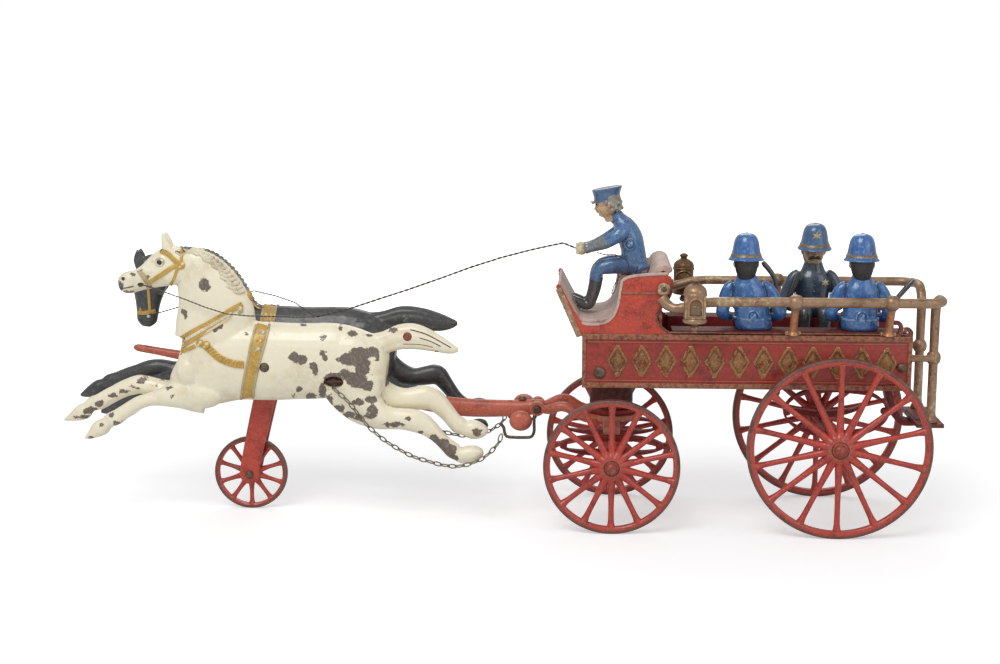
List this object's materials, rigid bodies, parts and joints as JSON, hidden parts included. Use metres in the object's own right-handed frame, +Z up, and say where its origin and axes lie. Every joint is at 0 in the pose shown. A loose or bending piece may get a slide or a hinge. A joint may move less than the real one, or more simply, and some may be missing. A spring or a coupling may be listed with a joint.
{
  "type": "cast iron toy horse carriage",
  "caption": "Cast iron toy patrol wagon with railed benches, lamps, seated figures, a steering front truck and a galloping two-horse team on a pole with a small guide wheel.",
  "frame": {"origin": "on the floor under the middle of the object's overall length and width", "axes": "+X toward the wagon's tail, +Y to the team's far side, +Z up"},
  "size_m": [0.5362, 0.1288, 0.2045],
  "materials": {
    "red_paint": "worn orange-red paint over cast iron",
    "gilt": "worn gold-bronze paint over cast iron",
    "bare_iron": "dark aged iron",
    "dark_wire": "aged twisted iron wire",
    "blue_paint": "glossy worn blue paint",
    "cream_paint": "chipped cream paint",
    "black_paint": "worn black paint"
  },
  "bodies": {
    "wagon": {"near_side_panel": "red_paint", "off_side_panel": "red_paint", "bed_floor": "red_paint", "footboard": "red_paint", "driver_seat": "red_paint", "near_bench": "red_paint", "off_bench": "red_paint", "near_rail": "gilt", "off_rail": "gilt", "near_lamp": "gilt", "off_lamp": "gilt", "front_tie_rod": "bare_iron", "rear_tie_rod": "bare_iron", "rear_step": "red_paint", "step_hanger": "red_paint", "near_rear_spring": "red_paint", "off_rear_spring": "red_paint", "rear_axle": "bare_iron", "front_bolster": "red_paint", "king_pin": "bare_iron", "driver_near_half": "blue_paint", "driver_off_half": "blue_paint", "driver_tie_wire": "dark_wire", "rein_twist": "dark_wire"},
    "truck": {"front_truck": "red_paint", "near_front_spring": "red_paint", "off_front_spring": "red_paint", "front_axle": "bare_iron", "pole_pin": "bare_iron"},
    "pole": {"pole": "red_paint", "doubletree_pin": "bare_iron", "team_wheel_fork": "red_paint", "team_wheel_pin": "bare_iron", "team_cross_pin": "bare_iron"},
    "doubletree": {"doubletree": "red_paint", "near_trace_hook": "bare_iron", "off_trace_hook": "bare_iron", "near_trace_chain": "dark_wire", "off_trace_chain": "dark_wire"},
    "near_horse": {"near_horse_outer_half": "cream_paint", "near_horse_inner_half": "cream_paint", "near_rein": "dark_wire"},
    "off_horse": {"off_horse_outer_half": "black_paint", "off_horse_inner_half": "black_paint", "off_rein": "dark_wire"},
    "near_rear_wheel": {"near_rear_wheel": "red_paint"},
    "off_rear_wheel": {"off_rear_wheel": "red_paint"},
    "near_front_wheel": {"near_front_wheel": "red_paint"},
    "off_front_wheel": {"off_front_wheel": "red_paint"},
    "team_wheel": {"team_wheel": "red_paint"},
    "officer_1": {"officer_1_front_half": "blue_paint", "officer_1_back_half": "blue_paint"},
    "officer_2": {"officer_2_front_half": "blue_paint", "officer_2_back_half": "blue_paint"},
    "officer_3": {"officer_3_front_half": "blue_paint", "officer_3_back_half": "blue_paint"}
  },
  "joints": [
    {"name": "truck_steer", "type": "hinge", "parent": "wagon", "child": "truck", "pos_m": [0.0702, 0, 0.0652], "axis": [0, 0, 1], "range_deg": [-20, 20], "deforming": ["rein_twist", "near_rein", "off_rein"]},
    {"name": "pole_pitch", "type": "hinge", "parent": "truck", "child": "pole", "pos_m": [0.0249, 0, 0.0674], "axis": [0, 1, 0], "range_deg": [-2, 10]},
    {"name": "doubletree_swivel", "type": "hinge", "parent": "pole", "child": "doubletree", "pos_m": [0.0155, 0, 0.058], "axis": [0, 0, 1], "range_deg": [-5, 5], "deforming": ["near_trace_chain", "off_trace_chain"]},
    {"name": "near_horse_rock", "type": "hinge", "parent": "pole", "child": "near_horse", "pos_m": [-0.1374, 0, 0.097], "axis": [0, 1, 0], "range_deg": [-3, 3]},
    {"name": "off_horse_rock", "type": "hinge", "parent": "pole", "child": "off_horse", "pos_m": [-0.1374, 0, 0.097], "axis": [0, 1, 0], "range_deg": [-3, 3]},
    {"name": "near_rear_wheel_spin", "type": "hinge", "parent": "wagon", "child": "near_rear_wheel", "pos_m": [0.2029, -0.0466, 0.054], "axis": [0, 1, 0], "continuous": true},
    {"name": "off_rear_wheel_spin", "type": "hinge", "parent": "wagon", "child": "off_rear_wheel", "pos_m": [0.2029, 0.0466, 0.054], "axis": [0, 1, 0], "continuous": true},
    {"name": "near_front_wheel_spin", "type": "hinge", "parent": "truck", "child": "near_front_wheel", "pos_m": [0.0702, -0.0434, 0.0406], "axis": [0, 1, 0], "continuous": true},
    {"name": "off_front_wheel_spin", "type": "hinge", "parent": "truck", "child": "off_front_wheel", "pos_m": [0.0702, 0.0434, 0.0406], "axis": [0, 1, 0], "continuous": true},
    {"name": "team_wheel_spin", "type": "hinge", "parent": "pole", "child": "team_wheel", "pos_m": [-0.1547, 0, 0.0229], "axis": [0, 1, 0], "continuous": true},
    {"name": "officer_1_lift", "type": "slide", "parent": "wagon", "child": "officer_1", "axis": [0, 0, 1], "range_m": [0, 0.04]},
    {"name": "officer_2_lift", "type": "slide", "parent": "wagon", "child": "officer_2", "axis": [0, 0, 1], "range_m": [0, 0.04]},
    {"name": "officer_3_lift", "type": "slide", "parent": "wagon", "child": "officer_3", "axis": [0, 0, 1], "range_m": [0, 0.04]}
  ]
}
